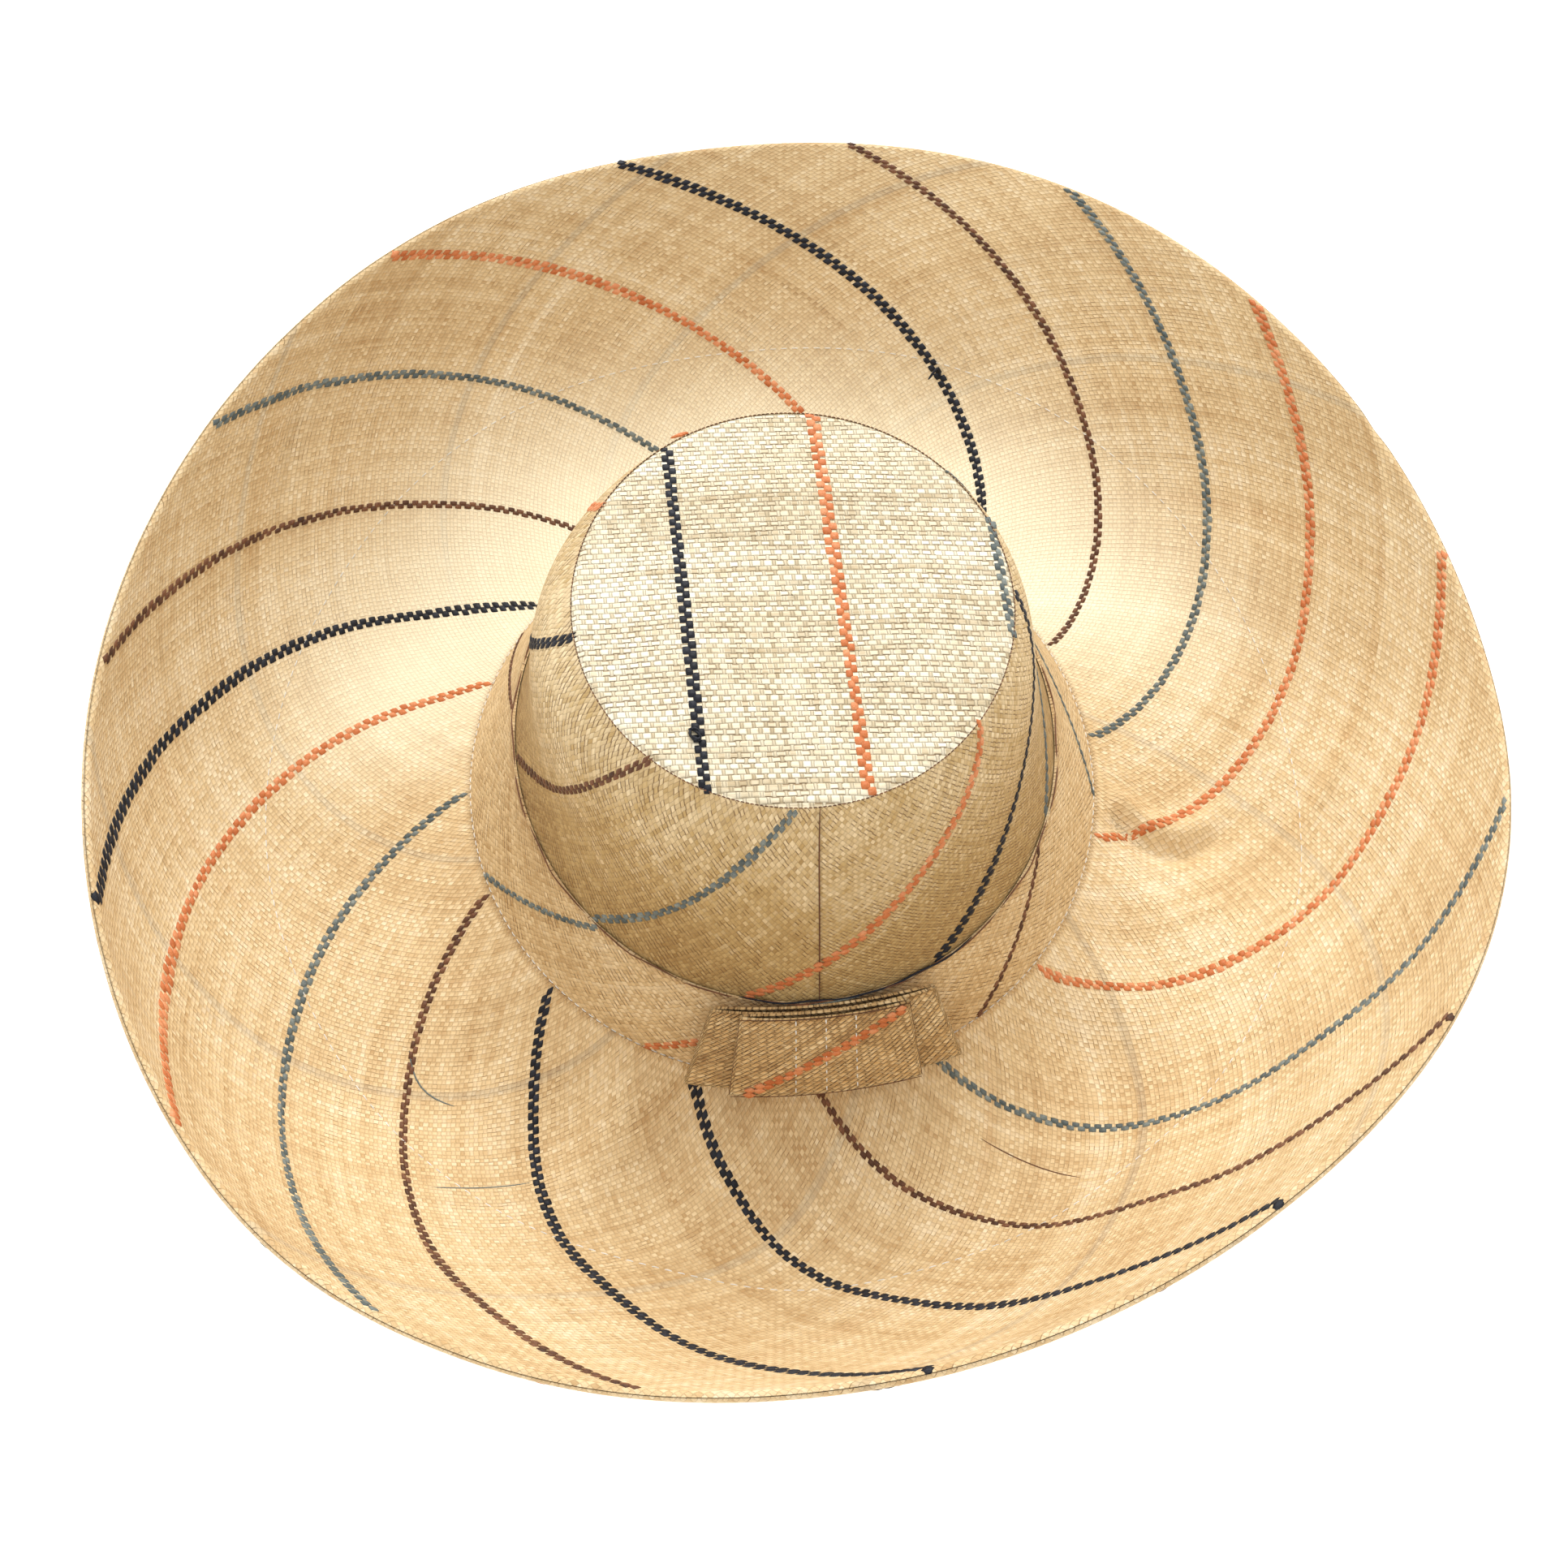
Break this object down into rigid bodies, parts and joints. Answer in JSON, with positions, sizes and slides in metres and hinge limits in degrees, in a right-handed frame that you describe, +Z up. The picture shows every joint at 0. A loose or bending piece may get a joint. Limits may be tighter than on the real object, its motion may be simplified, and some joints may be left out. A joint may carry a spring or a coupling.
{
  "type": "wide brim woven raffia sun hat",
  "caption": "Sun hat of bias-cut woven raffia with dyed stripes: a tapered oval crown, a wide upturned double brim and a band with a flat bow.",
  "frame": {"origin": "centre of the hat's bounding box in plan, on the level that the lowest part of the brim stands on", "axes": "+Z up through the crown, -Y the front where the bow is, +X the wearer's left"},
  "size_m": [0.397, 0.398, 0.1085],
  "materials": {
    "woven_raffia": "matt natural tan raffia in plain weave, about 1.4 mm a thread, streaked lighter and darker, with single stripes of black, brown, blue-grey and orange dyed raffia",
    "pale_raffia": "matt cream raffia in a coarser plain weave with one black and one orange stripe",
    "lining_raffia": "matt natural raffia cloth, unstriped",
    "white_thread": "white cotton sewing thread",
    "black_raffia": "raffia dyed navy black",
    "brown_raffia": "raffia dyed dark brown",
    "grey_raffia": "raffia dyed blue-grey",
    "orange_raffia": "raffia dyed orange"
  },
  "bodies": {
    "root": {"crown_side_left": "woven_raffia", "crown_side_right": "woven_raffia", "hat_band": "woven_raffia", "bow_back_loop": "woven_raffia", "bow_front_loop": "woven_raffia", "brim_top_panel_1": "woven_raffia", "brim_top_panel_2": "woven_raffia", "brim_top_panel_3": "woven_raffia", "brim_top_panel_4": "woven_raffia", "brim_under_panel_1": "woven_raffia", "brim_under_panel_2": "woven_raffia", "brim_under_panel_3": "woven_raffia", "brim_under_panel_4": "woven_raffia", "crown_tip": "pale_raffia", "crown_tip_lining": "lining_raffia", "crown_lining_left": "lining_raffia", "crown_lining_right": "lining_raffia", "sweatband": "lining_raffia", "band_stitching": "white_thread", "brim_stitching": "white_thread", "bow_stitching_1": "white_thread", "bow_stitching_2": "white_thread", "bow_stitching_3": "white_thread"}
  },
  "joints": []
}
